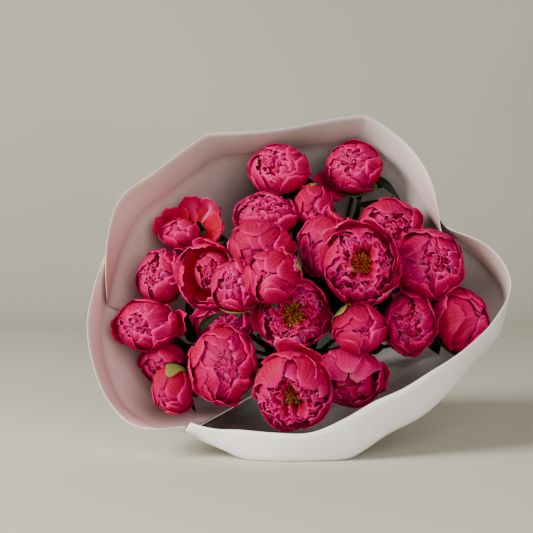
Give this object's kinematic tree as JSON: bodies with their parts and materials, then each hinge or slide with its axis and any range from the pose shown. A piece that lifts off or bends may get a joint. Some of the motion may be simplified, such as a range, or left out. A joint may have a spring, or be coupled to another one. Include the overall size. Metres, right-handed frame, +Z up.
{
  "type": "bunch of peonies",
  "caption": "Hand-tied bunch of pink peonies with stems and leaves in an open paper wrap, lying on its side with the flowers raised to one end.",
  "frame": {"origin": "below the middle of the bunch, on the surface that it lies on", "axes": "+Z up; -Y towards the flowers and the open mouth of the wrap; +Y towards the cut stem ends; +X to the right of someone who looks into the flowers"},
  "size_m": [0.5268, 0.5786, 0.425],
  "materials": {
    "petals": "soft satin, deeper red inside the flowers",
    "stamens": "matt, powdery",
    "greens": "satin, dark green",
    "paper": "matt, uncoated",
    "twine": "matt, natural fibre",
    "ribbon": "satin"
  },
  "bodies": {
    "root": {"bloom_01": "petals", "stem_01": "greens", "bloom_02": "petals", "stem_02": "greens", "bloom_03": "petals", "stem_03": "greens", "bloom_04": "petals", "stem_04": "greens", "bloom_05": "petals", "stem_05": "greens", "bloom_06": "petals", "stem_06": "greens", "bloom_07": "petals", "stem_07": "greens", "bloom_08": "petals", "stem_08": "greens", "bloom_09": "petals", "stem_09": "greens", "bloom_10": "petals", "stem_10": "greens", "bloom_11": "petals", "stem_11": "greens", "bloom_12": "petals", "stamens_12": "stamens", "stem_12": "greens", "bloom_13": "petals", "stem_13": "greens", "bloom_14": "petals", "stem_14": "greens", "bloom_15": "petals", "stem_15": "greens", "bloom_16": "petals", "stem_16": "greens", "bloom_17": "petals", "stem_17": "greens", "bloom_18": "petals", "stamens_18": "stamens", "stem_18": "greens", "bloom_19": "petals", "stem_19": "greens", "bloom_20": "petals", "stamens_20": "stamens", "stem_20": "greens", "bloom_21": "petals", "stem_21": "greens", "bloom_22": "petals", "stem_22": "greens", "bloom_23": "petals", "stem_23": "greens", "bloom_24": "petals", "stem_24": "greens", "bloom_25": "petals", "stem_25": "greens", "paper_back": "paper", "paper_left": "paper", "paper_front": "paper", "binding": "twine", "ribbon": "ribbon"}
  },
  "joints": []
}
